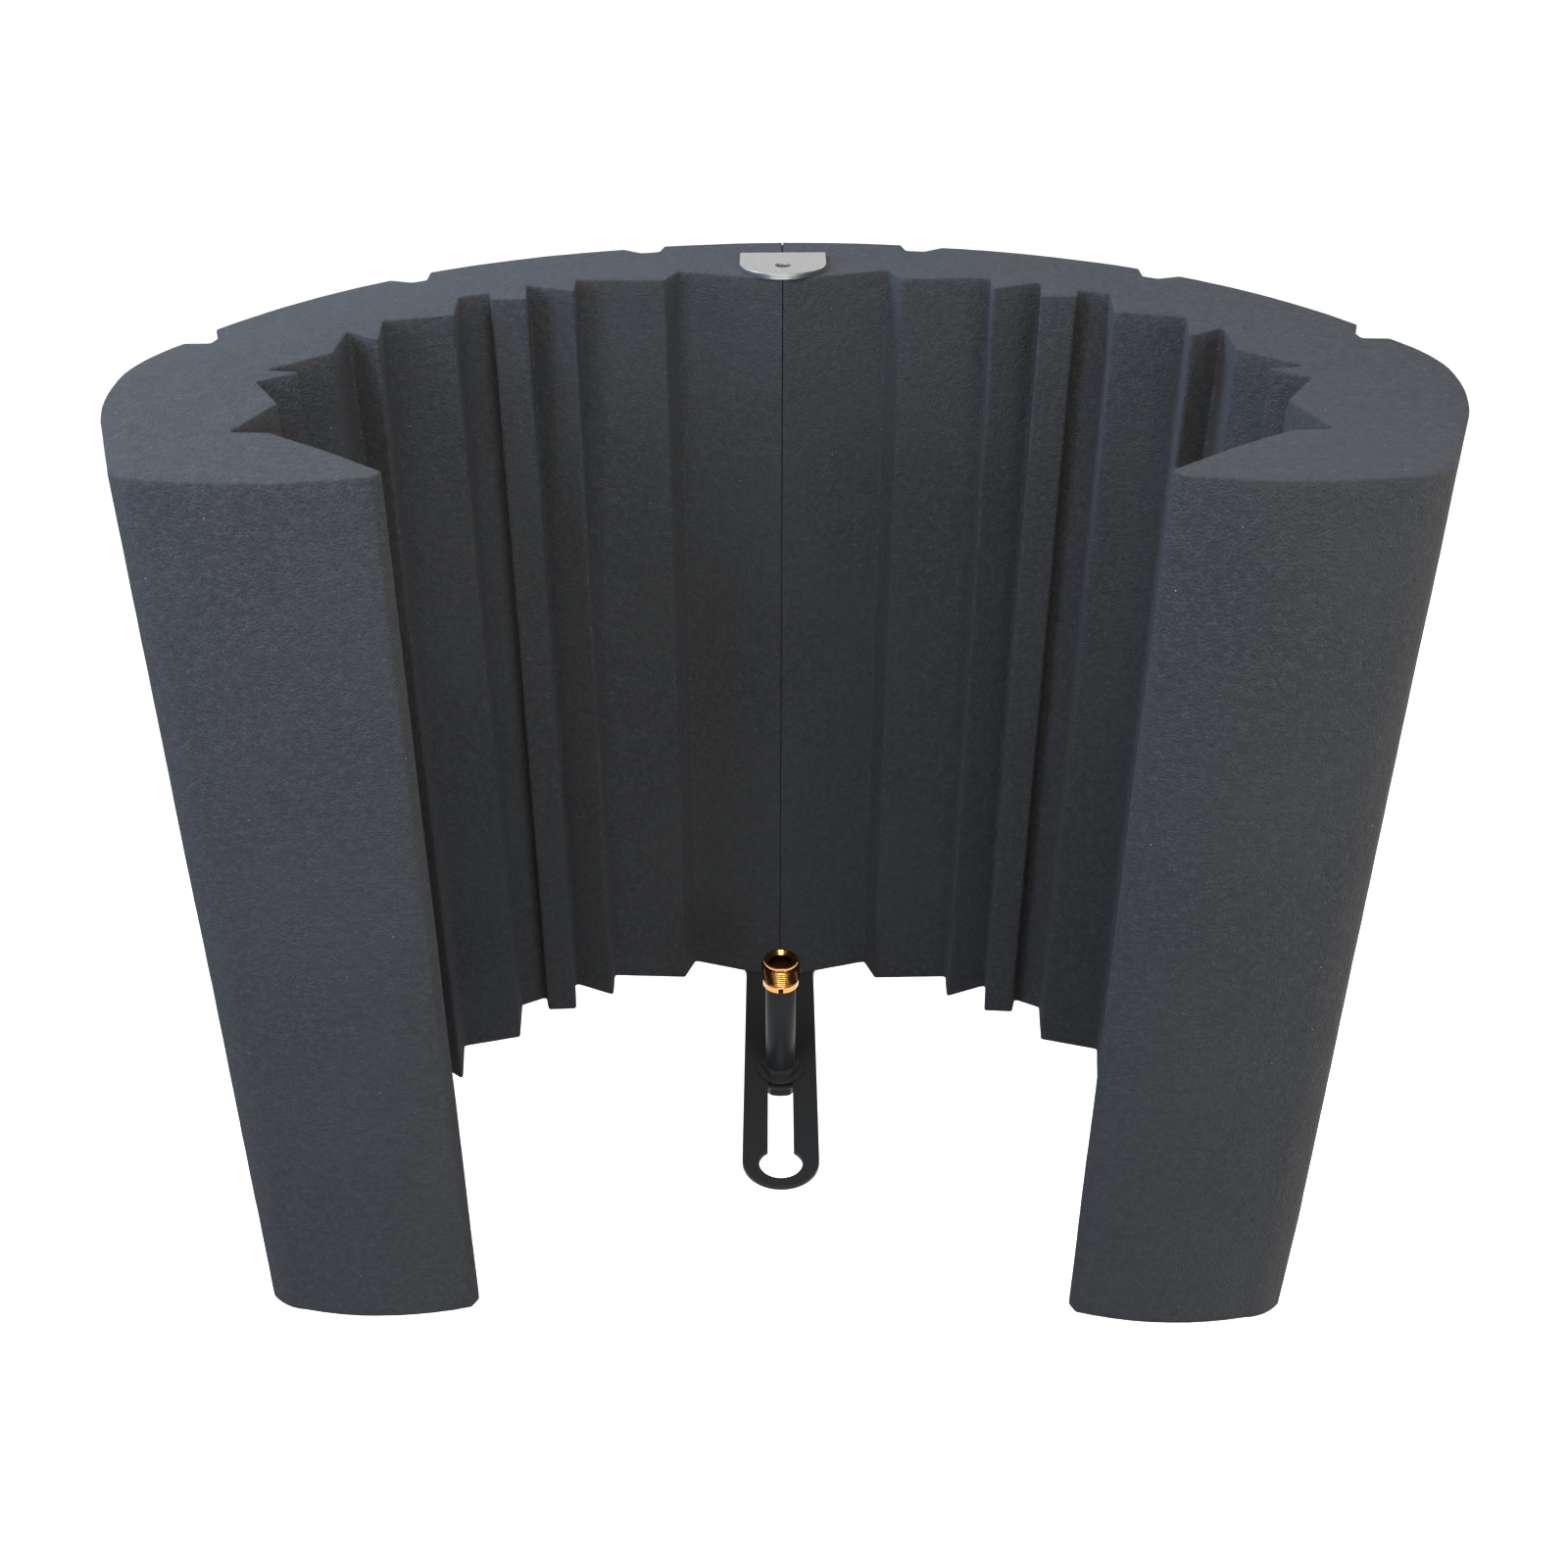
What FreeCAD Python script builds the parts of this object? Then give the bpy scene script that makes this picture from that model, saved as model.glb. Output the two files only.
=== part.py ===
import FreeCAD, Part
import math
import os

import Sketcher
from FreeCAD import Placement, Rotation, Vector

# Microphone isolation shield: two mirrored acoustic foam halves held by a bent steel spine, with a
# slotted arm under the foam and a microphone post that is clamped in the arm's slot.
# Frame, in millimetres: the origin is the centre of the arm's keyhole on the arm's top face, +Z is up,
# +Y points to the closed back of the shield and the open side faces -Y.

doc = FreeCAD.newDocument("isolation_shield")

# ---------------------------------------------------------------- driving dimensions
DIMENSIONS = {
    # foam halves
    "foam_height": 320,
    "seam_film": 0.4,
    "film_setback": 0.8,
    "panel_radius": 205,
    "wing_front_radius": 125,
    "wing_corner_radius": 19,
    "wing_side_radius": 130,
    "wing_back_radius": 70,
    "slit_clearance": 0.1,
    "slit_play": 1.2,
    "film_slit_gap": 1,
    "nut_hollow_width": 14,
    "nut_hollow_depth": 8,
    "nut_hollow_front": 128.7,
    "nut_hollow_rear": 151.7,
    # bent spine: top tab, upright strip and bottom foot
    "sheet_thickness": 2,
    "tip_flat": 0.2,
    "edge_round": 0.35,
    "cut_margin": 1,
    "spine_width": 32.5,
    "spine_rear": 155.2,
    "bend_inside": 1,
    "tab_tip": 121.4,
    "tab_hole_radius": 3,
    "tab_hole_place": 134,
    "foot_front": 128.7,
    # slotted arm
    "arm_width": 31,
    "arm_tip": -13.4,
    "keyhole_radius": 8.75,
    "slot_width": 10.5,
    "slot_end": 90,
    "arm_foot_gap": 0.3,
    # screws that hold the arm to the foot
    "screw_front_place": 134,
    "screw_rear_place": 146.5,
    "screw_radius": 2.5,
    "screw_head_radius": 4.75,
    "screw_head_height": 2.7,
    "screw_crown_radius": 2.6,
    "screw_rim_height": 0.6,
    "screw_key_across": 3,
    "screw_key_depth": 1.6,
    "screw_end": 5.4,
    "screw_point_chamfer": 0.4,
    "screw_hole_radius": 2.65,
    "screw_nut_across": 8,
    "screw_nut_height": 4,
    "screw_washer_radius": 4.6,
    "screw_washer_height": 1.2,
    # microphone post, clamped in the slot
    "post_place": 57.3,
    "face_gap": 0.05,
    "rod_radius": 4.7625,
    "rod_foot": -11.3,
    "rod_top": 49.6,
    "rod_chamfer": 0.7,
    "thread_play": 0.04,
    "washer_radius": 10,
    "washer_height": 1.2,
    "washer_bore": 5.1,
    "washer_chamfer": 0.2,
    "nut_across": 14.3,
    "upper_nut_height": 3,
    "clamp_nut_height": 5.6,
    "sleeve_radius": 6.25,
    "sleeve_bore": 4.9,
    "sleeve_top": 46.1,
    "sleeve_chamfer": 0.5,
    # brass thread adapter
    "adapter_top": 58.7,
    "adapter_thread_radius": 7.94,
    "adapter_thread_base": 49.7,
    "adapter_thread_top": 56.6,
    "adapter_thread_chamfer": 0.6,
    "adapter_neck_radius": 6.9,
    "adapter_ring_radius": 7.3,
    "adapter_ring_top": 49.1,
    "adapter_ring_edge": 0.3,
    "adapter_collar_radius": 7.1,
    "adapter_collar_base": 56.9,
    "adapter_collar_edge": 0.4,
    "adapter_mouth_radius": 6.1,
    "adapter_mouth_depth": 1.3,
    "adapter_relief_radius": 5.3,
    "adapter_relief_base": 49.1,
    "adapter_relief_top": 50.6,
    "adapter_slot_width": 2,
    "adapter_slot_depth": 2.4,
}

# Plan of one foam half, from the seam around the inner ridges to the wing and back along the outside.
# Each corner is (x, y), or (x, y, radius) where the edge that ends there is an outward arc.
INNER_RIDGES = [
    (39.1, 133.9), (43.5, 121.6), (75.9, 122.6), (75.5, 107.9), (93.7, 116.2), (91.4, 97.9),
    (103.9, 97.1), (106, 105.8), (116, 100.1), (114.1, 77.8), (137.6, 71.2), (134.5, 48.6),
    (147.3, 59.1), (146.7, 34.8), (164.3, 17.5), (151.5, 15), (163.9, 6), (151.6, -15.2),
    (159.1, -40.5), (147.2, -41), (128, -54.9), (107.3, -72.6),
]
WING = [
    (109.6, -77), (170, -79, "wing_front_radius"), (183.4, -72.4, "wing_corner_radius"),
    (200.7, -29.5), (208.6, 14, "wing_side_radius"), (199, 46.2, "wing_back_radius"),
]
OUTER_PANELS = [
    (190.2, 46.6), (189.3, 54), (192.8, 62), (145.2, 123.8, "panel_radius"),
    (136.5, 120.8), (132, 124), (132.3, 134.8), (61.8, 167.4, "panel_radius"),
    (54.5, 161.8), (48, 163.3), (46.4, 171.7),
]
SEAM_INNER = 121.8
SEAM_OUTER = 176.4

sheet = doc.addObject("Spreadsheet::Sheet", "dims")


def add_cells(cells):
    """Write each named number on a new row of the sheet, with its name as the cell's alias."""
    for name, number in cells.items():
        row = len(sheet.getUsedCells()) // 2 + 1
        sheet.set(f"A{row}", name)
        sheet.set(f"B{row}", str(number))
        sheet.setAlias(f"B{row}", name)


add_cells(DIMENSIONS)
add_cells({"seam_inner": SEAM_INNER, "seam_outer": SEAM_OUTER})
FOAM_CORNERS = INNER_RIDGES + WING + OUTER_PANELS
for index, corner in enumerate(FOAM_CORNERS):
    add_cells({f"foam{index:02d}_x": corner[0], f"foam{index:02d}_y": corner[1]})
doc.recompute()


# ---------------------------------------------------------------- helpers
def bound(expression):
    """The same expression with every sheet name written as dims.name."""
    words = expression.replace("(", "( ").replace(")", " )").split()
    return " ".join("dims." + word if word[0].isalpha() and "_" in word else word for word in words)


def value(expression):
    """The number that an expression on the sheet gives now."""
    result = sheet.evalExpression(bound(expression))
    return float(getattr(result, "Value", result))


def new_body(label):
    body = doc.addObject("PartDesign::Body", label)
    body.Label = label
    return body


def new_sketch(body, name, plane, height="0"):
    """A sketch on one of the body's own origin planes, raised by an expression."""
    sketch = body.newObject("Sketcher::SketchObject", name)
    base = next(f for f in body.Origin.OriginFeatures if f.Role == plane)
    sketch.AttachmentSupport = (base, [""])
    sketch.MapMode = "FlatFace"
    if height != "0":
        sketch.setExpression("AttachmentOffset.Base.z", bound(height))
    return sketch


def bind(sketch, constraint, name, expression):
    """Add a constraint and tie its size to the sheet."""
    index = sketch.addConstraint(constraint)
    sketch.renameConstraint(index, name)
    sketch.setExpression(f"Constraints.{name}", bound(expression))


def place_point(sketch, edge, end, name, x, y):
    """Tie one end of an edge, or a circle's centre, to the sheet."""
    bind(sketch, Sketcher.Constraint("DistanceX", -1, 1, edge, end, value(x)), name + "_x", x)
    bind(sketch, Sketcher.Constraint("DistanceY", -1, 1, edge, end, value(y)), name + "_y", y)


def arc_between(start, end, radius):
    """The short arc from start to end, bulging to the right of the way from one to the other."""
    chord = end - start
    across = Vector(chord.y, -chord.x, 0).normalize()
    rise = math.sqrt(max(radius**2 - (chord.Length / 2) ** 2, 0))
    centre = (start + end) * 0.5 - across * rise
    first = math.atan2(start.y - centre.y, start.x - centre.x)
    last = math.atan2(end.y - centre.y, end.x - centre.x)
    return Part.ArcOfCircle(Part.Circle(centre, Vector(0, 0, 1), radius), first, last)


def add_outline(sketch, corners):
    """A closed chain of lines and arcs through corners given as expressions.
    A third expression is the radius of the arc that ends at that corner, and a fourth item, "hollow",
    makes that arc bulge to the left of the way round."""
    points = [Vector(value(c[0]), value(c[1]), 0) for c in corners]
    chain = []
    for k, corner in enumerate(corners):
        start, end = points[k - 1], points[k]
        first, last = 1, 2
        if len(corner) == 2:
            shape = Part.LineSegment(start, end)
        elif len(corner) == 3:
            shape = arc_between(start, end, value(corner[2]))
        else:
            shape = arc_between(end, start, value(corner[2]))
            first, last = 2, 1
        chain.append((sketch.addGeometry(shape), first, last))
    for k, corner in enumerate(corners):
        edge, _, last = chain[k]
        following, first, _ = chain[(k + 1) % len(chain)]
        sketch.addConstraint(Sketcher.Constraint("Coincident", edge, last, following, first))
        place_point(sketch, edge, last, f"corner{k:02d}", corner[0], corner[1])
        if len(corner) > 2:
            radius = Sketcher.Constraint("Radius", edge, value(corner[2]))
            bind(sketch, radius, f"radius{k:02d}", corner[2])


def add_circle(sketch, x, y, radius, name="circle"):
    circle = Part.Circle(Vector(value(x), value(y), 0), Vector(0, 0, 1), value(radius))
    edge = sketch.addGeometry(circle)
    place_point(sketch, edge, 3, name, x, y)
    bind(sketch, Sketcher.Constraint("Radius", edge, value(radius)), name + "_radius", radius)


def add_hexagon(sketch, across):
    """A regular hexagon about the sketch's origin, with two flats that run along X."""
    turns = [(1, "0"), (0.5, "0.5"), (-0.5, "0.5"), (-1, "0"), (-0.5, "-0.5"), (0.5, "-0.5")]
    add_outline(sketch, [(f"{across} / sqrt( 3 ) * {x}", f"{across} * {y}") for x, y in turns])


def extrude(body, sketch, kind, length, reverse=False, both_ways=False):
    """A Pad or Pocket of the sketch, checked to have changed the solid."""
    before = body.Shape.Volume if body.Tip else 0
    feature = body.newObject("PartDesign::" + kind, f"{kind}{len(body.Group)}")
    feature.Profile = sketch
    feature.setExpression("Length", bound(length))
    feature.Reversed = reverse
    feature.Midplane = both_ways
    doc.recompute()
    if abs(body.Shape.Volume - before) < 1e-3:
        raise RuntimeError(f"{body.Label}: {feature.Name} changed nothing")
    return feature


def revolve(body, sketch):
    """A full turn of the sketch about its own vertical axis."""
    feature = body.newObject("PartDesign::Revolution", "Revolution")
    feature.Profile = sketch
    feature.ReferenceAxis = (sketch, ["V_Axis"])
    feature.Angle = 360
    doc.recompute()
    return feature


def round_edges(body, radius, wanted):
    """Fillet the edges of the body's tip that the test picks out."""
    base = body.Tip
    names = [f"Edge{i + 1}" for i, edge in enumerate(base.Shape.Edges) if wanted(edge)]
    feature = body.newObject("PartDesign::Fillet", f"Fillet{len(body.Group)}")
    feature.Base = (base, names)
    feature.setExpression("Radius", bound(radius))
    doc.recompute()
    return feature


def is_level(edge, height):
    """True for an edge that lies in the horizontal plane at that height."""
    return all(abs(v.Point.z - height) < 1e-4 for v in edge.Vertexes) and (
        abs(edge.CenterOfMass.z - height) < 1e-4
    )


def is_upright_at(edge, place):
    """True for a straight vertical edge at that y."""
    ends = [v.Point for v in edge.Vertexes]
    if len(ends) != 2:
        return False
    return all(abs(p.y - place) < 1e-4 for p in ends) and abs(ends[0].x - ends[1].x) < 1e-4


def is_outer_rim(edge, height, tip, hole_radius):
    """True for the level edges along a strip's sides and tip, but not for those around its holes."""
    centre = edge.CenterOfMass
    return is_level(edge, height) and (abs(centre.x) > value(hole_radius) or abs(centre.y - tip) < 0.01)


def turned(label, profile, place_y="0"):
    """A body turned about a vertical axis at that y, from (radius, height) corners."""
    body = new_body(label)
    sketch = new_sketch(body, label + "_profile", "XZ_Plane")
    add_outline(sketch, profile)
    revolve(body, sketch)
    body.setExpression("Placement.Base.y", bound(place_y))
    return body


def grouped(label, members):
    """One node that holds identical fasteners as separate solids."""
    group = doc.addObject("Part::Compound", label)
    group.Label = label
    group.Links = members
    return group


# ---------------------------------------------------------------- foam
def make_foam_half(label):
    """The +X half: an upright extrusion with a slit for the spine in its seam face."""
    body = new_body(label)
    seam = "seam_film / 2"
    slit_side = "spine_width / 2 + slit_clearance"
    slit_rear = "spine_rear + slit_clearance"
    slit_front = "spine_rear - sheet_thickness - slit_play"
    corners = [(seam, "seam_inner")]
    for index, corner in enumerate(FOAM_CORNERS):
        corners.append((f"foam{index:02d}_x", f"foam{index:02d}_y") + tuple(corner[2:]))
    corners += [(seam, "seam_outer", "panel_radius"), (seam, slit_rear), (slit_side, slit_rear)]
    corners += [(slit_side, slit_front), (seam, slit_front)]
    plan = new_sketch(body, "plan", "XY_Plane")
    add_outline(plan, corners)
    extrude(body, plan, "Pad", "foam_height")

    hollow = new_sketch(body, "nut_hollow", "XY_Plane")
    side, front, rear = "nut_hollow_width / 2", "nut_hollow_front", "nut_hollow_rear"
    add_outline(hollow, [(seam, front), (side, front), (side, rear), (seam, rear)])
    extrude(body, hollow, "Pocket", "nut_hollow_depth", reverse=True)
    return body


def make_seam_film():
    """The glue that joins the halves, in front of and behind the spine, short of every visible edge."""
    pieces = []
    slit_front = "spine_rear - sheet_thickness - slit_play"
    spans = {
        "front_film": ("seam_inner + film_setback", f"{slit_front} - film_slit_gap"),
        "rear_film": ("spine_rear + film_slit_gap", "seam_outer - film_setback"),
    }
    for name, (start, end) in spans.items():
        film = doc.addObject("Part::Box", name)
        film.setExpression("Length", bound("seam_film"))
        film.setExpression("Width", bound(f"{end} - ( {start} )"))
        film.setExpression("Height", bound("foam_height - nut_hollow_depth - 2 * film_setback"))
        film.setExpression("Placement.Base.x", bound("- seam_film / 2"))
        film.setExpression("Placement.Base.y", bound(start))
        film.setExpression("Placement.Base.z", bound("nut_hollow_depth + film_setback"))
        pieces.append(film)
    return grouped("seam_adhesive", pieces)


# ---------------------------------------------------------------- steel strips
def make_spine():
    """One bent strip: the tab on top of the foam, the upright in the slit, the foot under the arm."""
    body = new_body("spine_bracket")
    rear, inside, outside = "spine_rear", "bend_inside", "bend_inside + sheet_thickness"
    face = "spine_rear - sheet_thickness"
    top, under = "foam_height + sheet_thickness", "foam_height"
    foot_top, foot_under = "- sheet_thickness", "-2 * sheet_thickness"
    side = new_sketch(body, "side_view", "YZ_Plane")
    add_outline(side, [
        ("foot_front", foot_under),
        (f"{rear} - ( {outside} )", foot_under),
        (rear, f"{foot_under} + {outside}", outside),
        (rear, f"{top} - ( {outside} )"),
        (f"{rear} - ( {outside} )", top, outside),
        ("tab_tip", top),
        ("tab_tip", under),
        (f"{face} - {inside}", under),
        (face, f"{under} - {inside}", inside, "hollow"),
        (face, f"{foot_top} + {inside}"),
        (f"{face} - {inside}", foot_top, inside, "hollow"),
        ("foot_front", foot_top),
    ])
    extrude(body, side, "Pad", "spine_width", both_ways=True)

    hole = new_sketch(body, "tab_hole", "XY_Plane", "foam_height - cut_margin")
    add_circle(hole, "0", "tab_hole_place", "tab_hole_radius")
    extrude(body, hole, "Pocket", "sheet_thickness + 2 * cut_margin", reverse=True)
    for name in ("screw_front_place", "screw_rear_place"):
        hole = new_sketch(body, name + "_hole", "XY_Plane")
        add_circle(hole, "0", name, "screw_hole_radius")
        extrude(body, hole, "Pocket", "2 * sheet_thickness + cut_margin")

    tip = value("tab_tip")
    tip_round = "( spine_width - tip_flat ) / 2"
    round_edges(body, tip_round, lambda e: is_upright_at(e, tip) and e.CenterOfMass.z > 0)
    round_edges(body, "edge_round", lambda e: is_outer_rim(e, value(top), tip, "tab_hole_radius"))
    return body


def make_arm():
    """The flat arm with a long slot that ends in a keyhole near its rounded tip."""
    body = new_body("slotted_arm")
    half, rear = "arm_width / 2", "spine_rear - sheet_thickness - bend_inside - arm_foot_gap"
    plan = new_sketch(body, "plan", "XY_Plane")
    add_outline(plan, [
        (half, "arm_tip"), (half, rear), (f"-1 * {half}", rear), (f"-1 * {half}", "arm_tip"),
    ])
    extrude(body, plan, "Pad", "sheet_thickness", reverse=True)

    slot = new_sketch(body, "slot", "XY_Plane")
    side, end = "slot_width / 2", "slot_end - slot_width / 2"
    add_outline(slot, [(f"-1 * {side}", "0"), (side, "0"), (side, end), (f"-1 * {side}", end)])
    extrude(body, slot, "Pocket", "sheet_thickness")
    rounds = {
        "slot_end_round": (end, side),
        "keyhole": ("0", "keyhole_radius"),
        "screw_front_hole": ("screw_front_place", "screw_hole_radius"),
        "screw_rear_hole": ("screw_rear_place", "screw_hole_radius"),
    }
    for name, (place, radius) in rounds.items():
        hole = new_sketch(body, name, "XY_Plane")
        add_circle(hole, "0", place, radius)
        extrude(body, hole, "Pocket", "sheet_thickness")

    tip = value("arm_tip")
    round_edges(body, "( arm_width - tip_flat ) / 2", lambda e: is_upright_at(e, tip))
    round_edges(body, "edge_round", lambda e: is_outer_rim(e, 0, tip, "keyhole_radius"))
    return body


# ---------------------------------------------------------------- fasteners
def make_nut(label, base, height, across, bore, place_y):
    """A hexagon nut: a turned blank with chamfered rims, cut to six flats."""
    corner = f"{across} / sqrt( 3 )"
    crown = f"{across} / 2"
    drop = f"( {across} / sqrt( 3 ) - {across} / 2 ) * tan( 30 )"
    body = turned(label, [
        (bore, base), (crown, base), (corner, f"{base} + {drop}"),
        (corner, f"{base} + {height} - {drop}"), (crown, f"{base} + {height}"),
        (bore, f"{base} + {height}"),
    ], place_y)
    flats = new_sketch(body, "flats", "XY_Plane", base)
    add_hexagon(flats, across)
    add_circle(flats, "0", "0", f"{across}", "rim")
    extrude(body, flats, "Pocket", height, reverse=True)
    return body


def make_washer(label, base, radius, bore, height, place_y):
    """A flat washer with a small chamfer on both outer rims."""
    rim, top = f"{radius} - washer_chamfer", f"{base} + {height}"
    return turned(label, [
        (bore, base), (rim, base), (radius, f"{base} + washer_chamfer"),
        (radius, f"{top} - washer_chamfer"), (rim, top), (bore, top),
    ], place_y)


def make_screw(label, place_y):
    """A button-head screw that points up, with a hexagon key socket in its head."""
    seat = "-2 * sheet_thickness"
    crown = f"{seat} - screw_head_height"
    body = turned(label, [
        ("0", crown), ("screw_crown_radius", crown),
        ("screw_head_radius", f"{seat} - screw_rim_height", "screw_head_radius"),
        ("screw_head_radius", seat), ("screw_radius", seat),
        ("screw_radius", "screw_end - screw_point_chamfer"),
        ("screw_radius - screw_point_chamfer", "screw_end"), ("0", "screw_end"),
    ], place_y)
    key = new_sketch(body, "key_socket", "XY_Plane", crown)
    add_hexagon(key, "screw_key_across")
    extrude(body, key, "Pocket", "screw_key_depth", reverse=True)
    return body


# ---------------------------------------------------------------- microphone post
def make_rod():
    """The threaded rod through the slot, drawn at its thread's outer radius."""
    rod, cut = "rod_radius", "rod_chamfer"
    return turned("threaded_rod", [
        ("0", "rod_foot"), (f"{rod} - {cut}", "rod_foot"), (rod, f"rod_foot + {cut}"),
        (rod, f"rod_top - {cut}"), (f"{rod} - {cut}", "rod_top"), ("0", "rod_top"),
    ], "post_place")


def make_sleeve():
    """The round black post tube between the base nut and the adapter."""
    base, cut = "2 * face_gap + washer_height + upper_nut_height", "sleeve_chamfer"
    return turned("post_sleeve", [
        ("sleeve_bore", base), ("sleeve_radius", base), ("sleeve_radius", f"sleeve_top - {cut}"),
        (f"sleeve_radius - {cut}", "sleeve_top"), ("sleeve_bore", "sleeve_top"),
    ], "post_place")


def make_adapter():
    """The brass adapter: slotted ring, outer thread, collar with a flared mouth, threaded bore."""
    base, bore, free_bore = "sleeve_top + face_gap", "rod_radius + thread_play", "rod_radius"
    ring, ring_edge = "adapter_ring_radius", "adapter_ring_edge"
    collar, collar_edge = "adapter_collar_radius", "adapter_collar_edge"
    thread, chamfer = "adapter_thread_radius", "adapter_thread_chamfer"
    neck, mouth_base = "adapter_neck_radius", "adapter_top - adapter_mouth_depth"
    body = turned("thread_adapter", [
        (bore, base), (f"{ring} - {ring_edge}", base), (ring, f"{base} + {ring_edge}"),
        (ring, f"adapter_ring_top - {ring_edge}"), (f"{ring} - {ring_edge}", "adapter_ring_top"),
        (neck, "adapter_ring_top"), (neck, "adapter_thread_base"), (thread, "adapter_thread_base"),
        (thread, f"adapter_thread_top - {chamfer}"), (neck, "adapter_thread_top"),
        (neck, "adapter_collar_base"), (collar, f"adapter_collar_base + {collar} - {neck}"),
        (collar, f"adapter_top - {collar_edge}"), (f"{collar} - {collar_edge}", "adapter_top"),
        ("adapter_mouth_radius", "adapter_top"), (free_bore, mouth_base),
        (free_bore, "adapter_relief_top"), ("adapter_relief_radius", "adapter_relief_top"),
        ("adapter_relief_radius", "adapter_relief_base"), (bore, "adapter_relief_base"),
    ], "post_place")
    slot = new_sketch(body, "driver_slot", "XY_Plane", base)
    wide, far = "adapter_slot_width / 2", "adapter_ring_radius + cut_margin"
    near = f"-1 * ( {far} )"
    add_outline(slot, [(f"-1 * {wide}", near), (wide, near), (wide, far), (f"-1 * {wide}", far)])
    extrude(body, slot, "Pocket", "adapter_slot_depth", reverse=True)
    return body


# ---------------------------------------------------------------- the object
foam_right = make_foam_half("foam_half_right")
foam_left = doc.addObject("Part::Mirroring", "foam_half_left")
foam_left.Label = "foam_half_left"
foam_left.Source = foam_right
foam_left.Normal = Vector(1, 0, 0)

screw_places = {"front": "screw_front_place", "rear": "screw_rear_place"}
screw_bore = "screw_radius + thread_play"
nut_seat = "screw_washer_height"
arm_screws = [make_screw(f"screw_{end}", place) for end, place in screw_places.items()]
arm_washers = [
    make_washer(f"screw_washer_{end}", "0", "screw_washer_radius", "screw_hole_radius", nut_seat, place)
    for end, place in screw_places.items()
]
arm_nuts = [
    make_nut(f"screw_nut_{end}", nut_seat, "screw_nut_height", "screw_nut_across", screw_bore, place)
    for end, place in screw_places.items()
]

upper_washer_base = "face_gap"
lower_washer_base = "- sheet_thickness - face_gap - washer_height"
upper_nut_base = "2 * face_gap + washer_height"
clamp_nut_base = "- sheet_thickness - 2 * face_gap - washer_height - clamp_nut_height"
rod_bore = "rod_radius + thread_play"
washer_sizes = ("washer_radius", "washer_bore", "washer_height", "post_place")

subparts = [
    foam_left,
    foam_right,
    make_seam_film(),
    make_spine(),
    make_arm(),
    grouped("arm_screws", arm_screws),
    grouped("arm_screw_washers", arm_washers),
    grouped("arm_screw_nuts", arm_nuts),
    make_washer("upper_washer", upper_washer_base, *washer_sizes),
    make_nut("upper_nut", upper_nut_base, "upper_nut_height", "nut_across", rod_bore, "post_place"),
    make_washer("lower_washer", lower_washer_base, *washer_sizes),
    make_nut("clamp_nut", clamp_nut_base, "clamp_nut_height", "nut_across", rod_bore, "post_place"),
    make_rod(),
    make_sleeve(),
    make_adapter(),
]
doc.recompute()

# ---------------------------------------------------------------- checks and export
for item in doc.Objects:
    if "Invalid" in item.State or "Error" in item.State:
        raise RuntimeError(f"{item.Label} failed: {item.State}")
for part in subparts:
    if part.Shape.isNull() or not part.Shape.isValid() or not part.Shape.Solids:
        raise RuntimeError(f"{part.Label} has no valid solid")

os.makedirs("parts", exist_ok=True)
for part in subparts:
    part.Shape.exportStep(f"parts/{part.Label}.step")
    box = part.Shape.BoundBox
    ends = (("x", box.XMin, box.XMax), ("y", box.YMin, box.YMax), ("z", box.ZMin, box.ZMax))
    spans = " ".join(f"{axis} {low:.1f}..{high:.1f}" for axis, low, high in ends)
    solids, volume = len(part.Shape.Solids), part.Shape.Volume / 1000
    print(f"{part.Label:20s} {solids} solid(s) {volume:9.3f} cm3 {spans}")
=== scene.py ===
import math

import bmesh
import bpy
from mathutils import Matrix, Vector, geometry, noise


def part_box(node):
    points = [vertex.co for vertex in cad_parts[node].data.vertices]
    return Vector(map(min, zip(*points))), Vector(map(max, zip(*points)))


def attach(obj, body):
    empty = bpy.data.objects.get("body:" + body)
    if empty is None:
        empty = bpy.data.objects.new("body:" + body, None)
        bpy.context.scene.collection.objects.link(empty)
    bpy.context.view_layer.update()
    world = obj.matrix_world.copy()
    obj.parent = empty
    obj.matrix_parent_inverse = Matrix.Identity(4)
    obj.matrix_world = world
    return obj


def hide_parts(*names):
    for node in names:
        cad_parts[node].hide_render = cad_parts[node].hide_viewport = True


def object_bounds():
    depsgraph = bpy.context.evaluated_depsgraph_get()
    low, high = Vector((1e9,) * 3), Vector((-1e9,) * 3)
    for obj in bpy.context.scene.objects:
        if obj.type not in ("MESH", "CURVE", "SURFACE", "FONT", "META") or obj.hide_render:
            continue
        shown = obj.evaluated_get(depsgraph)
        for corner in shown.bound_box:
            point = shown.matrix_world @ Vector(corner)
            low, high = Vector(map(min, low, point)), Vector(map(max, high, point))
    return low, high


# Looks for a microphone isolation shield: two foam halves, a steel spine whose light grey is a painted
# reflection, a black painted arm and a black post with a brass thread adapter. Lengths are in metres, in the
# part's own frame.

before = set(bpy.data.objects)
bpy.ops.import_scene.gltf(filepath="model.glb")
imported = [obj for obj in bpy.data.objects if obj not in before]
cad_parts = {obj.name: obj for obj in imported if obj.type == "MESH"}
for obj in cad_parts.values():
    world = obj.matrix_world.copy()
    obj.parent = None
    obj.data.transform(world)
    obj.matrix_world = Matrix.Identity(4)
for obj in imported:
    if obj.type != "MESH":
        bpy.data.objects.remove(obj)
cad_low, cad_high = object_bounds()
MM = 0.001

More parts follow.
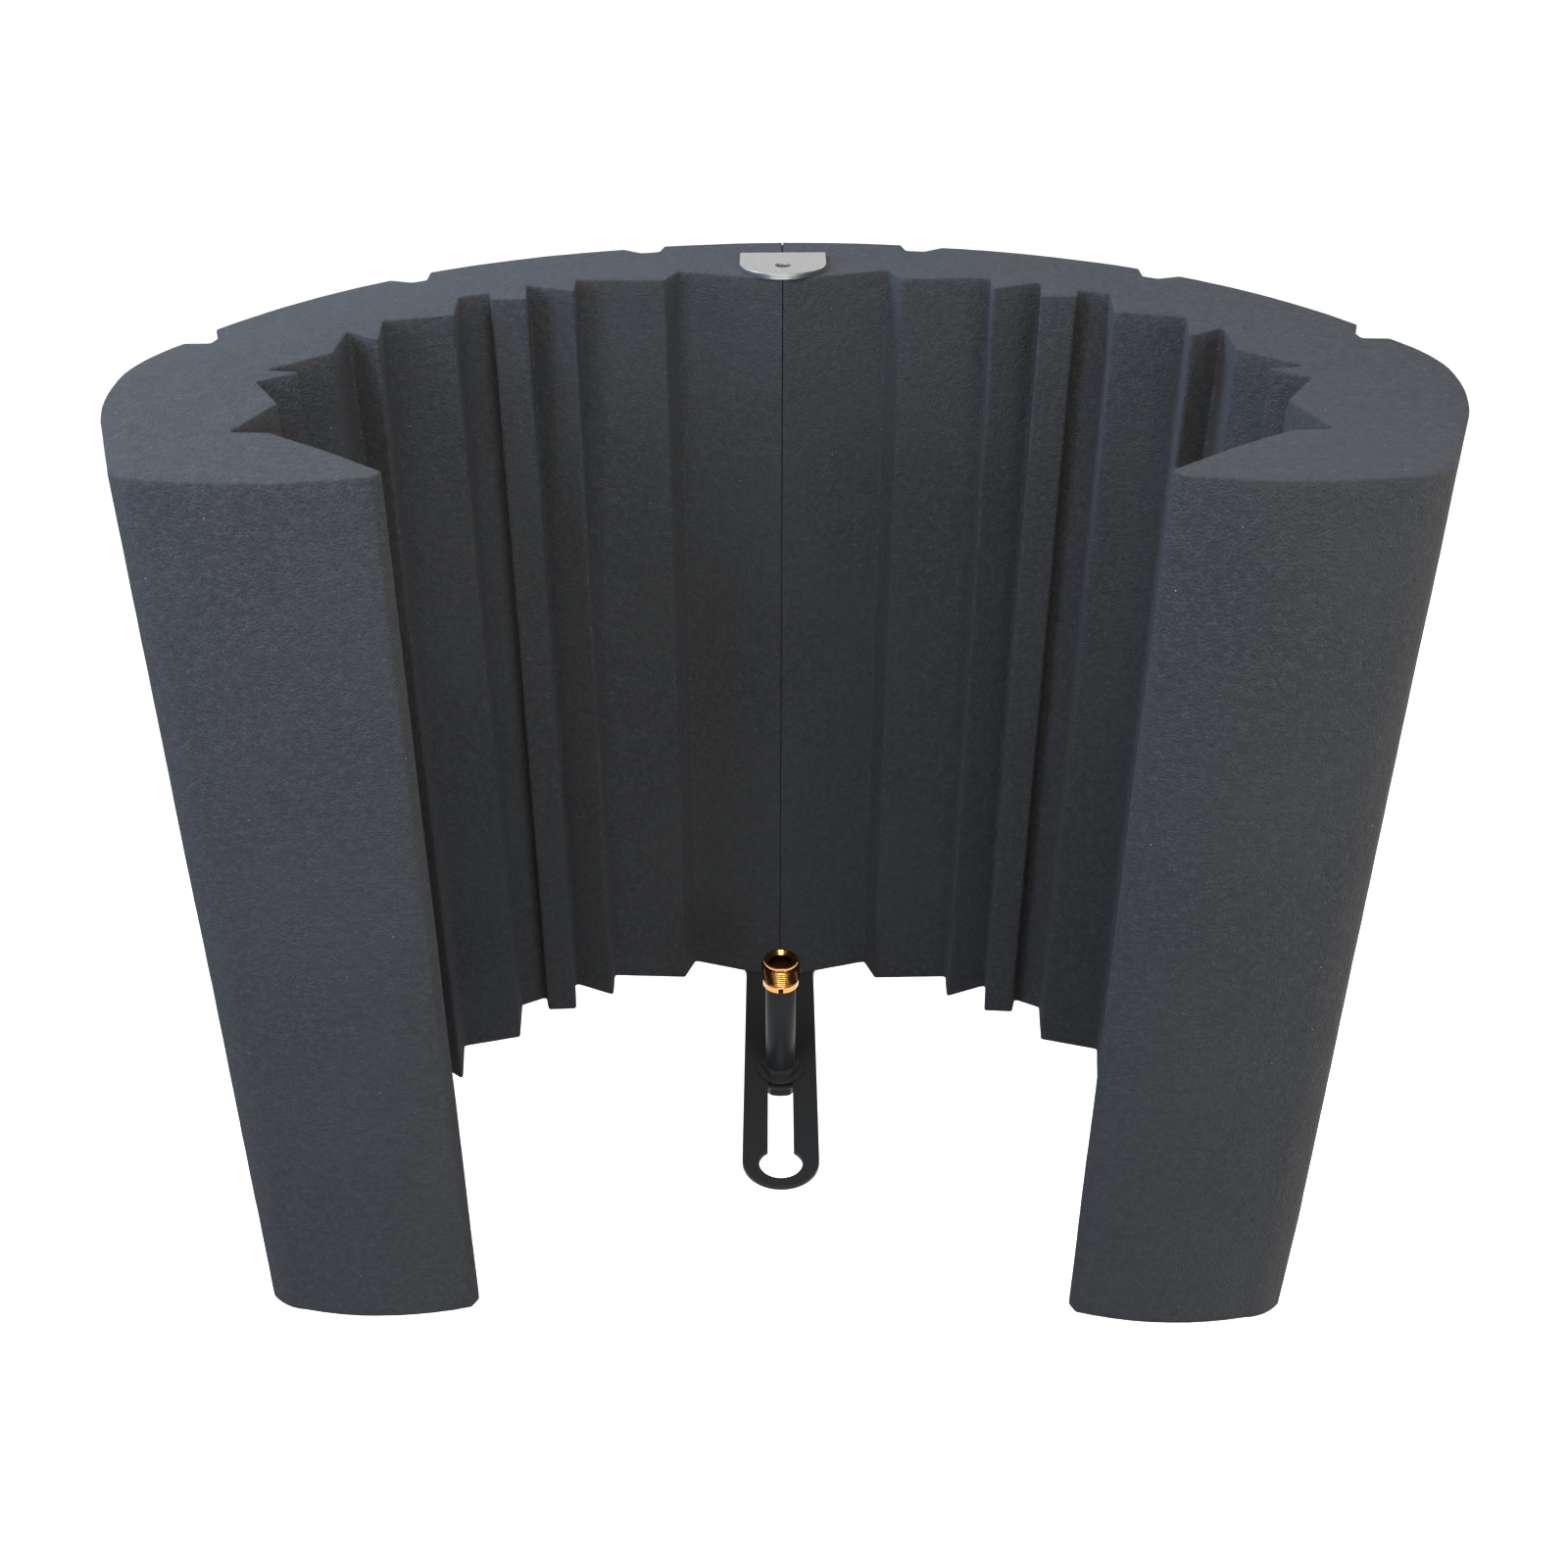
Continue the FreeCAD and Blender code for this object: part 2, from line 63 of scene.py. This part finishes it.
# ---------------------------------------------------------------- foam geometry
CORNER_RADIUS = 1.4 * MM  # how far the cutting wire softens an upright edge
SEAM_RADIUS = 0.2 * MM
RIM_RADIUS = 0.7 * MM  # the same, around the top and the underside
RIM_STEPS = 3
RUN_STEP = 4.0 * MM  # longest run between two points of the plan
ROW_STEP = 4.0 * MM
CAP_STEP = 6.0 * MM
SHARP_TURN = math.radians(9)
ARC_STEP = 25  # degrees of turn for each step around a softened corner
SEAM_NEAR = 1 * MM  # points this near to the middle belong to the glued seam
TAB_REACH = 17 * MM  # the foam around the tab and the seam isn't raised, within this x ...
TAB_FROM = 0.12  # ... and behind this y
CAP_JITTER = 0.25  # as a share of the step
CAP_CLEARANCE = 0.45
LEAN = 3.2 * MM  # how far the tips of both wings lean to -X
LEAN_FROM = 0.150  # the wings lean in front of this y
LEAN_REACH = 0.223
WAVE = ((0.20 * MM, 22.0), (0.09 * MM, 110.0))  # depth and scale of the cut's unevenness
WAVE_SHIFT = 7.3  # moves the unevenness along, so that the two halves differ

# ---------------------------------------------------------------- screw threads
OUTER_PITCH = 25.4 / 27 * MM
ROD_PITCH = 25.4 / 16 * MM
THREAD_SHARE = 0.58  # a thread's depth as a share of its pitch
ROWS_PER_PITCH = 10
ADAPTER_SEGMENTS = 96
ROD_SEGMENTS = 72
BORE_ROWS = 5
ROD_CORE = 1 * MM  # radius of the small end rings, which are filled with flat faces
TURNED_ANGLE = 40  # degrees: sharper edges of a turned piece stay sharp

# ---------------------------------------------------------------- edges of the CAD pieces
EDGE_BREAK = 0.12 * MM
EDGE_ANGLE = math.radians(35)


# ---------------------------------------------------------------- helpers: meshes
def new_piece(name, vertices, faces):
    """A mesh object from points in the row frame, shaded smooth, with outward normals."""
    data = bpy.data.meshes.new(name)
    data.from_pydata(vertices, [], faces)
    work = bmesh.new()
    work.from_mesh(data)
    bmesh.ops.recalc_face_normals(work, faces=work.faces)
    work.to_mesh(data)
    work.free()
    data.shade_smooth()
    piece = bpy.data.objects.new(name, data)
    bpy.context.scene.collection.objects.link(piece)
    return piece


def apply_modifiers(piece):
    """Put the result of the piece's modifiers into its mesh."""
    graph = bpy.context.evaluated_depsgraph_get()
    done = bpy.data.meshes.new_from_object(piece.evaluated_get(graph))
    piece.modifiers.clear()
    piece.data = done


def shade_by_angle(piece, degrees):
    """Smooth shading that breaks at edges sharper than the angle."""
    piece.data.set_sharp_from_angle(angle=math.radians(degrees))


# ---------------------------------------------------------------- helpers: materials
class Net:
    """A material's node tree, with short ways to add nodes and to drive the shader."""

    def __init__(self, name, constants):
        self.material = bpy.data.materials.new(name)
        self.material.use_nodes = True
        self.tree = self.material.node_tree
        self.shader = self.tree.nodes["Principled BSDF"]
        for socket, number in constants.items():
            self.shader.inputs[socket].default_value = number
        self.place = self.add("TexCoord").outputs["Object"]

    def add(self, kind, inputs=None, **settings):
        node = self.tree.nodes.new("ShaderNode" + kind)
        for name, setting in settings.items():
            setattr(node, name, setting)
        for socket, source in (inputs or {}).items():
            if isinstance(source, bpy.types.NodeSocket):
                self.tree.links.new(source, node.inputs[socket])
            else:
                node.inputs[socket].default_value = source
        return node

    def drive(self, socket, source):
        self.tree.links.new(source, self.shader.inputs[socket])

    def noise(self, scale, detail=3.0, stretch=(1, 1, 1)):
        """Noise from 0 to 1, with scale in features per metre, stretched along the row's axes."""
        moved = self.add("Mapping", {"Vector": self.place, "Scale": stretch})
        inputs = {"Vector": moved.outputs["Vector"], "Scale": scale, "Detail": detail}
        return self.add("TexNoise", inputs).outputs["Fac"]

    def cells(self, scale):
        """Distance from the middle of the nearest cell, with scale in cells per metre."""
        return self.add("TexVoronoi", {"Vector": self.place, "Scale": scale}).outputs["Distance"]

    def remap(self, source, low, high, to_low, to_high):
        inputs = {"Value": source, "From Min": low, "From Max": high, "To Min": to_low, "To Max": to_high}
        return self.add("MapRange", inputs).outputs["Result"]

    def mix(self, share, first, second):
        node = self.add("Mix", {"Factor": share}, data_type="RGBA")
        for socket, source in ((node.inputs[6], first), (node.inputs[7], second)):
            if isinstance(source, bpy.types.NodeSocket):
                self.tree.links.new(source, socket)
            else:
                socket.default_value = (*source, 1)
        return node.outputs[2]

    def bump(self, heights):
        """Bumps laid on one another, from (height, depth in metres) pairs."""
        normal = None
        for height, depth in heights:
            inputs = {"Height": height, "Distance": depth, "Strength": 1.0}
            if normal is not None:
                inputs["Normal"] = normal
            normal = self.add("Bump", inputs).outputs["Normal"]
        self.drive("Normal", normal)


def foam_material():
    """Charcoal open-cell foam: pores under a millimetre across, mottled, with stray pale dust."""
    net = Net("charcoal_foam", {"Roughness": 0.95, "Specular IOR Level": 0.04, "Sheen Weight": 0.08,
                                "Sheen Roughness": 0.6})
    pores = net.cells(1300)
    mottle = net.noise(420, 4)
    drift = net.noise(14, 2)
    base = net.mix(net.remap(pores, 0.05, 0.75, 0, 1), (0.050, 0.053, 0.059), (0.094, 0.098, 0.107))
    toned = net.mix(net.remap(mottle, 0.35, 0.65, 0, 1), base, (0.060, 0.063, 0.070))
    varied = net.mix(net.remap(drift, 0.4, 0.6, 0, 0.35), toned, (0.084, 0.087, 0.094))
    dust = net.remap(net.cells(95), 0.030, 0.022, 0, 1)
    net.drive("Base Color", net.mix(dust, varied, (0.30, 0.31, 0.32)))
    net.bump([(pores, 0.35 * MM), (mottle, 0.5 * MM), (net.noise(2600, 2), 0.12 * MM)])
    return net.material


def adhesive_material():
    """Dull black contact adhesive, slightly lumpy."""
    net = Net("contact_adhesive", {"Roughness": 0.6, "Specular IOR Level": 0.3})
    lumps = net.noise(500, 4)
    net.drive("Base Color", net.mix(lumps, (0.006, 0.006, 0.007), (0.012, 0.012, 0.014)))
    net.bump([(lumps, 0.2 * MM)])
    return net.material


def painted_reflection_material():
    """Satin light grey metal over rolled steel, with a faint grain along the strip. The light grey is a
    painted reflection: it stands in for the bright room that the strip's top mirrors at a grazing angle.
    """
    net = Net("painted_reflection_grey", {"Metallic": 1.0})
    grain = net.noise(240, 5, (9, 0.6, 0.6))
    cloud = net.noise(60, 3)
    # painted reflection: these light grey tones stand in for the bright room mirrored at a grazing angle in
    # the strip's top
    tone = net.mix(grain, (0.46, 0.46, 0.455), (0.50, 0.50, 0.495))
    net.drive("Base Color", net.mix(net.remap(cloud, 0.35, 0.7, 0, 0.3), tone, (0.44, 0.44, 0.44)))
    net.drive("Roughness", net.remap(grain, 0.3, 0.7, 0.36, 0.48))
    net.bump([(grain, 0.012 * MM)])
    return net.material


def black_paint_material():
    """Smooth black paint with a slight orange peel and a few dull rubs."""
    net = Net("black_paint", {"Specular IOR Level": 0.05})
    peel = net.noise(320, 2)
    rubs = net.noise(45, 5)
    net.drive("Base Color", net.mix(rubs, (0.042, 0.043, 0.045), (0.049, 0.050, 0.052)))
    net.drive("Roughness", net.remap(rubs, 0.35, 0.75, 0.34, 0.44))
    net.bump([(peel, 0.02 * MM)])
    return net.material


def oxide_material():
    """Black oxide on turned steel: dark, satin, with rings left by the tool."""
    net = Net("black_oxide", {"Specular IOR Level": 0.08})
    rings = net.noise(900, 2, (0.05, 0.05, 1))
    blotch = net.noise(260, 4)
    net.drive("Base Color", net.mix(blotch, (0.036, 0.036, 0.038), (0.052, 0.052, 0.055)))
    net.drive("Roughness", net.remap(blotch, 0.3, 0.7, 0.28, 0.46))
    net.bump([(rings, 0.02 * MM), (blotch, 0.015 * MM)])
    return net.material


def zinc_material():
    """Bright zinc plating with a cloudy, faintly blue surface."""
    net = Net("zinc_plating", {"Metallic": 1.0})
    cloud = net.noise(350, 4)
    net.drive("Base Color", net.mix(cloud, (0.50, 0.52, 0.55), (0.64, 0.65, 0.67)))
    net.drive("Roughness", net.remap(cloud, 0.3, 0.7, 0.24, 0.4))
    net.bump([(cloud, 0.012 * MM)])
    return net.material


def brass_material():
    """Turned brass, warm and bright, with fine tool rings and slight tarnish in patches."""
    net = Net("turned_brass", {"Metallic": 1.0})
    rings = net.noise(1500, 2, (0.03, 0.03, 1))
    tarnish = net.noise(330, 4)
    tone = net.mix(rings, (0.57, 0.27, 0.085), (0.70, 0.35, 0.12))
    net.drive("Base Color", net.mix(net.remap(tarnish, 0.5, 0.8, 0, 0.2), tone, (0.42, 0.16, 0.05)))
    net.drive("Roughness", net.remap(tarnish, 0.3, 0.75, 0.15, 0.2))
    net.bump([(rings, 0.012 * MM)])
    return net.material


# ---------------------------------------------------------------- foam halves
def plan_of(node):
    """The plan of an upright extrusion, in order and anticlockwise, read from the node's top face."""
    work = bmesh.new()
    work.from_mesh(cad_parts[node].data)
    bmesh.ops.remove_doubles(work, verts=work.verts, dist=1e-6)
    work.normal_update()
    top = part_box(node)[1].z
    beside = {}
    for edge in work.edges:
        level = all(abs(v.co.z - top) < 1e-6 for v in edge.verts)
        if level and sum(face.normal.z > 0.9 for face in edge.link_faces) == 1:
            first, second = (v.index for v in edge.verts)
            beside.setdefault(first, []).append(second)
            beside.setdefault(second, []).append(first)
    work.verts.ensure_lookup_table()
    walk = [min(beside)]
    last = None
    while True:
        onward = next(i for i in beside[walk[-1]] if i != last)
        if onward == walk[0]:
            break
        last = walk[-1]
        walk.append(onward)
    points = [Vector(work.verts[i].co[:2]) for i in walk]
    work.free()
    area = sum(p.x * q.y - q.x * p.y for p, q in zip(points, points[1:] + points[:1]))
    return points if area > 0 else points[::-1]


def softened(points):
    """The plan with its corners rounded and its long runs divided."""
    rounded = []
    for k, corner in enumerate(points):
        before, after = points[k - 1] - corner, points[(k + 1) % len(points)] - corner
        turn = math.pi - before.angle(after)
        if turn < SHARP_TURN:
            rounded.append(corner)
            continue
        radius = SEAM_RADIUS if abs(corner.x) < SEAM_NEAR else CORNER_RADIUS
        back = min(radius * math.tan(turn / 2), 0.45 * before.length, 0.45 * after.length)
        start, end = corner + before.normalized() * back, corner + after.normalized() * back
        steps = max(2, round(math.degrees(turn) / ARC_STEP))
        for step in range(steps + 1):
            t = step / steps
            rounded.append(start * (1 - t) ** 2 + corner * 2 * t * (1 - t) + end * t**2)
    divided = []
    for k, start in enumerate(rounded):
        end = rounded[(k + 1) % len(rounded)]
        steps = max(1, math.ceil((end - start).length / RUN_STEP))
        divided += [start.lerp(end, step / steps) for step in range(steps)]
    return divided


def inset(points, distance):
    """Each point of an anticlockwise plan moved inwards."""
    moved = []
    for k, point in enumerate(points):
        along = (points[(k + 1) % len(points)] - points[k - 1]).normalized()
        moved.append(point + Vector((-along.y, along.x)) * distance)
    return moved


def cap(rim, name):
    """Triangles that fill a rim, with scattered points inside it: (points, triangles)."""
    low = Vector((min(p.x for p in rim), min(p.y for p in rim)))
    high = Vector((max(p.x for p in rim), max(p.y for p in rim)))
    noise.seed_set(len(name))
    inner = []
    for i in range(int((high.x - low.x) / CAP_STEP) + 1):
        for j in range(int((high.y - low.y) / CAP_STEP) + 1):
            shift = noise.random_vector().to_2d() * CAP_JITTER
            spot = low + Vector((i + 0.5 * (j % 2) + shift.x, j + shift.y)) * CAP_STEP
            if inside(spot, rim) and clear_of(spot, rim, CAP_CLEARANCE * CAP_STEP):
                inner.append(spot)
    loop = list(range(len(rim)))
    points, _, faces, *_ = geometry.delaunay_2d_cdt(rim + inner, [], [loop], 1, 1e-7)
    return points, faces


def inside(spot, rim):
    """True if the spot is within the closed plan."""
    crossings = 0
    for p, q in zip(rim, rim[1:] + rim[:1]):
        if (p.y > spot.y) != (q.y > spot.y):
            crossings += spot.x < p.x + (spot.y - p.y) / (q.y - p.y) * (q.x - p.x)
    return crossings % 2 == 1


def clear_of(spot, rim, distance):
    """True if every point of the plan is further from the spot than the distance."""
    return all((spot - p).length > distance for p in rim)


def foam_half(node):
    """One foam half: soft cut edges, uneven cut faces and closed top and underside."""
    low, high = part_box(node)
    plan = softened(plan_of(node))
    count = len(plan)
    quarter = [math.pi / 2 * step / RIM_STEPS for step in range(RIM_STEPS + 1)]
    levels = [(RIM_RADIUS * (1 - math.sin(a)), low.z + RIM_RADIUS * (1 - math.cos(a))) for a in quarter]
    tall = high.z - low.z - 2 * RIM_RADIUS
    steps = round(tall / ROW_STEP)
    rows = levels + [(0, levels[-1][1] + tall * step / steps) for step in range(1, steps)]
    rows += [(depth, low.z + high.z - height) for depth, height in reversed(levels)]
    vertices, faces = [], []
    for depth, height in rows:
        vertices += [(p.x, p.y, height) for p in inset(plan, depth)]
    for row in range(len(rows) - 1):
        for k in range(count):
            a, b = row * count + k, row * count + (k + 1) % count
            faces.append((a, b, b + count, a + count))
    for row in (0, len(rows) - 1):
        rim = inset(plan, rows[row][0])
        points, triangles = cap(rim, node)
        first = len(vertices)
        vertices += [(p.x, p.y, rows[row][1]) for p in points[count:]]
        for triangle in triangles:
            faces.append([row * count + i if i < count else first + i - count for i in triangle])
    piece = new_piece(node.replace("half", "block"), vertices, faces)
    roughen(piece, low, high, Vector((WAVE_SHIFT * len(node), 0, 0)))
    return piece


def roughen(piece, low, high, offset):
    """Move each point along its normal by the cut's unevenness, but not out over a neighbour, and let the
    soft wings lean."""
    mesh = piece.data
    moved = []
    for vertex in mesh.vertices:
        place = vertex.co
        depth = sum(size * noise.noise((place + offset) * scale) for size, scale in WAVE)
        if abs(place.x) < TAB_REACH and place.y > TAB_FROM:
            glued = abs(vertex.normal.z) < 0.5 and abs(place.x) < SEAM_NEAR
            depth = 0 if glued else -abs(depth) * 0.5
        if place.z < low.z + RIM_RADIUS or place.z > high.z - RIM_RADIUS:
            depth = -abs(depth)
        moved.append(place + vertex.normal * depth)
    for vertex, place in zip(mesh.vertices, moved):
        lean = max(0, (LEAN_FROM - place.y) / LEAN_REACH) ** 2 * LEAN
        vertex.co = place - Vector((lean, 0, 0))
    mesh.update()


# ---------------------------------------------------------------- threaded pieces
def lathe(name, rings, segments, centre):
    """A closed turned piece. Each ring is (radius, height), where radius may be a function of the angle."""
    vertices, faces = [], []
    for radius, height in rings:
        for k in range(segments):
            angle = 2 * math.pi * k / segments
            r = radius(angle) if callable(radius) else radius
            vertices.append((centre.x + r * math.cos(angle), centre.y + r * math.sin(angle), height))
    for ring in range(len(rings)):
        onward = (ring + 1) % len(rings)
        for k in range(segments):
            after = (k + 1) % segments
            a, b = ring * segments + k, ring * segments + after
            c, d = onward * segments + after, onward * segments + k
            faces.append((a, b, c, d))
    return new_piece(name, vertices, faces)


def thread_rings(major, low, high, pitch, run_out):
    """Rings of a right-hand V thread from low to high, with its crests turned down at both ends."""
    depth = THREAD_SHARE * pitch
    count = round((high - low) / pitch * ROWS_PER_PITCH)
    rings = []
    for step in range(count + 1):
        height = low + (high - low) * step / count
        edge = min(height - low, high - height)

        def radius(angle, height=height, edge=edge):
            phase = (height / pitch - angle / (2 * math.pi)) % 1
            wave = abs(2 * phase - 1)
            crest = min(1, max(0, 1.25 * wave - 0.125))
            return min(major - depth + depth * crest, major - depth + depth * edge / run_out)

        rings.append((radius, height))
    return rings


# ---------------------------------------------------------------- brass adapter
def brass_adapter():
    """The adapter with a real thread outside, a flared mouth, a plain bore and a driver slot across its
    ring."""
    low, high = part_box("thread_adapter")
    centre = (low + high) / 2
    base, top = low.z, high.z
    major = (high.x - low.x) / 2
    ring, neck, collar, bore = 7.3 * MM, 6.9 * MM, 7.1 * MM, 4.78 * MM
    ring_top, thread_low, thread_high = base + 2.95 * MM, base + 3.4 * MM, base + 10.6 * MM
    edge = 0.25 * MM
    rings = [(bore, base), (ring - edge, base), (ring, base + edge), (ring, ring_top - edge)]
    rings += [(ring - edge, ring_top), (neck, ring_top + 0.1 * MM), (neck, thread_low)]
    rings += thread_rings(major, thread_low, thread_high, OUTER_PITCH, 0.5 * MM)[1:-1]
    rings += [(neck, thread_high), (collar, thread_high + edge), (collar, top - edge)]
    rings += [(collar - edge, top - 0.05 * MM), (collar - 2 * edge, top)]
    mouth = 6.1 * MM
    rings += [(mouth + 0.1 * MM, top), (mouth, top - 0.1 * MM), (bore + 0.15 * MM, top - 1.35 * MM)]
    rings += [(bore, top - 1.5 * MM - row * ROD_PITCH) for row in range(BORE_ROWS)]
    piece = lathe("brass_thread_adapter", rings, ADAPTER_SEGMENTS, centre)

    cutter = bpy.data.objects.new("cutter", bpy.data.meshes.new("cutter"))
    bpy.context.scene.collection.objects.link(cutter)
    work = bmesh.new()
    width, length, height = 2 * MM, 30 * MM, 4.8 * MM  # half of the height lies below the base
    place = Matrix.Translation((centre.x, centre.y, base))
    bmesh.ops.create_cube(work, size=1, matrix=place @ Matrix.Diagonal((width, length, height, 1)))
    work.to_mesh(cutter.data)
    work.free()
    cut = piece.modifiers.new("slot", "BOOLEAN")
    cut.object = cutter
    cut.operation = "DIFFERENCE"
    apply_modifiers(piece)
    bpy.data.objects.remove(cutter)
    shade_by_angle(piece, TURNED_ANGLE)
    return piece


def threaded_rod():
    """The rod with its thread cut where the nuts run, and plain inside the post."""
    low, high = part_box("threaded_rod")
    centre = (low + high) / 2
    major = (high.x - low.x) / 2
    plain = major - 0.25 * MM
    nut_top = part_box("upper_nut")[1].z
    rings = [(ROD_CORE, low.z), (major - 1.2 * MM, low.z)]
    rings += thread_rings(major, low.z, nut_top + 2 * MM, ROD_PITCH, 0.9 * MM)[1:]
    chamfer = 0.7 * MM
    rings += [(plain, nut_top + 2.4 * MM), (plain, high.z - chamfer), (plain - chamfer, high.z)]
    rings += [(ROD_CORE, high.z)]
    piece = lathe("post_threaded_rod", rings, ROD_SEGMENTS, centre)
    work = bmesh.new()
    work.from_mesh(piece.data)
    core = [v for v in work.verts if (v.co.xy - centre.xy).length < 1.1 * ROD_CORE]
    bmesh.ops.delete(work, geom=[f for f in work.faces if all(v in core for v in f.verts)], context="FACES")
    bmesh.ops.holes_fill(work, edges=work.edges, sides=0)
    work.to_mesh(piece.data)
    work.free()
    shade_by_angle(piece, TURNED_ANGLE)
    return piece


# ---------------------------------------------------------------- the object
foam = foam_material()
for node in ("foam_half_left", "foam_half_right"):
    block = foam_half(node)
    block.data.materials.append(foam)
    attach(block, "shield")
    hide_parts(node)

adapter = brass_adapter()
adapter.data.materials.append(brass_material())
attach(adapter, "adapter")
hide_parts("thread_adapter")

oxide = oxide_material()
rod = threaded_rod()
rod.data.materials.append(oxide)
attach(rod, "post")
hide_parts("threaded_rod")

black_paint = black_paint_material()
zinc = zinc_material()
FINISHES = {
    "seam_adhesive": adhesive_material(),
    # the spine's light grey is a painted reflection of the bright room at a grazing angle
    "spine_bracket": painted_reflection_material(),
    "slotted_arm": black_paint,
    "post_sleeve": black_paint,
    "arm_screws": oxide,
    "upper_washer": black_paint,
    "upper_nut": black_paint,
    "lower_washer": oxide,
    "clamp_nut": oxide,
    "arm_screw_washers": zinc,
    "arm_screw_nuts": zinc,
}
for node, finish in FINISHES.items():
    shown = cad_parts[node]
    shown.data.materials.clear()
    shown.data.materials.append(finish)
    weld = shown.modifiers.new("weld", "WELD")
    weld.merge_threshold = 1e-6
    soften = shown.modifiers.new("soften", "BEVEL")
    soften.width = EDGE_BREAK
    soften.segments = 2
    soften.limit_method = "ANGLE"
    soften.angle_limit = EDGE_ANGLE
    soften.harden_normals = True


# ---------------------------------------------------------------- studio
SKY = {  # light from each side of the room, by the direction to that side
    (1, 0, 0): (0.15, 0.15, 0.15),
    (-1, 0, 0): (0.15, 0.15, 0.16),
    (0, 1, 0): (0.36, 0.36, 0.36),
    (0, -1, 0): (0.18, 0.18, 0.18),
    (0, 0, 1): (0.09, 0.09, 0.09),
}
LAMPS = {  # place, target, size, power and colour
    "overhead": ((0, -0.5, 1.15), (0, 0.1, 0.25), 0.6, 6.2, (1.0, 0.95, 0.82)),
    "front_right": ((0.55, -1.0, 0.55), (0.05, 0.05, 0.2), 0.5, 3.0, (0.86, 0.92, 1.0)),
    "left": ((-0.95, 0, 0.5), (-0.1, 0, 0.15), 0.5, 2.6, (0.60, 0.76, 1.0)),
    "near_left": ((-0.42, -0.5, 0.5), (-0.16, -0.05, 0.29), 0.25, 1.9, (0.68, 0.80, 1.0)),
    "rear_left": ((-0.35, 0.3, 0.75), (-0.12, 0.05, 0.31), 0.3, 2.6, (0.55, 0.72, 1.0)),
    "rear_right": ((0.5, 0.7, 0.75), (-0.1, 0, 0.28), 0.5, 1.5, (0.95, 0.95, 1.0)),
    "low_right": ((0.9, -0.1, 0.1), (0.1, 0, 0.15), 0.4, 3.4, (1.0, 0.90, 0.78)),
    "rear_panel": ((0, 1.7, 0.75), (0, 0.1, 0.3), 1.2, 3.5, (1.0, 0.98, 0.92)),
}

FLOOR_GAP = 0.3


def floor():
    """A plain pale floor that glows white, well below the part, which stands on a microphone stand."""
    half = 30.0
    drop = cad_low.z - FLOOR_GAP
    data = bpy.data.meshes.new("floor")
    data.from_pydata([(x, y, drop) for x, y in ((-half, -half), (half, -half), (half, half), (-half, half))],
                     [], [(0, 1, 2, 3)])
    made = bpy.data.objects.new("floor", data)
    bpy.context.scene.collection.objects.link(made)
    net = Net("pale_floor", {"Roughness": 0.9, "Specular IOR Level": 0.1})
    net.drive("Base Color", net.mix(net.noise(3, 2), (0.93, 0.93, 0.93), (0.95, 0.95, 0.95)))
    net.shader.inputs["Emission Color"].default_value = (1, 1, 1, 1)
    net.shader.inputs["Emission Strength"].default_value = 1.0
    data.materials.append(net.material)
    made.visible_diffuse = False


def studio_world():
    """Soft light from a pale room, as one colour for each side that it comes from."""
    world = bpy.data.worlds.new("studio")
    bpy.context.scene.world = world
    world.use_nodes = True
    tree = world.node_tree

    def add(kind, operation, *sources):
        node = tree.nodes.new("ShaderNode" + kind)
        node.operation = operation
        for k, source in enumerate(sources):
            if isinstance(source, bpy.types.NodeSocket):
                tree.links.new(source, node.inputs[k])
            else:
                node.inputs[k].default_value = source
        return node

    toward = tree.nodes.new("ShaderNodeTexCoord").outputs["Generated"]
    glow = (0, 0, 0)
    for side, colour in SKY.items():
        facing = add("VectorMath", "DOT_PRODUCT", toward, side).outputs["Value"]
        share = add("Math", "POWER", add("Math", "MAXIMUM", facing, 0).outputs[0], 2).outputs[0]
        tint = add("VectorMath", "SCALE", colour)
        tree.links.new(share, tint.inputs["Scale"])
        glow = add("VectorMath", "ADD", glow, tint.outputs[0]).outputs[0]
    tree.links.new(glow, tree.nodes["Background"].inputs["Color"])


def soft_light(name, place, target, size, power, colour):
    """A square lamp that faces the target and isn't seen itself."""
    lamp = bpy.data.lights.new(name, "AREA")
    lamp.shape = "SQUARE"
    lamp.size, lamp.energy, lamp.color = size, power, colour
    made = bpy.data.objects.new(name, lamp)
    made.location = place
    made.rotation_euler = (Vector(target) - Vector(place)).to_track_quat("-Z", "Y").to_euler()
    made.visible_camera = False
    bpy.context.scene.collection.objects.link(made)


def camera():
    """The photograph's viewpoint: in front of the open side, looking down on it. The photograph is a crop
    a little off the lens's axis, so the lens is shifted sideways."""
    lens = bpy.data.cameras.new("camera")
    lens.sensor_width = 36.0
    lens.lens = 40.28
    lens.shift_x = 0.034
    made = bpy.data.objects.new("camera", lens)
    yaw, pitch, roll = math.radians(1.57), math.radians(59.10), math.radians(-0.72)
    made.matrix_world = (Matrix.Translation((-0.0038, -0.5262, 0.4920)) @ Matrix.Rotation(yaw, 4, "Z")
                         @ Matrix.Rotation(pitch, 4, "X") @ Matrix.Rotation(roll, 4, "Z"))
    bpy.context.scene.collection.objects.link(made)
    bpy.context.scene.camera = made


floor()
studio_world()
for name, settings in LAMPS.items():
    soft_light(name, *settings)
camera()
bpy.context.scene.view_settings.view_transform = "Standard"
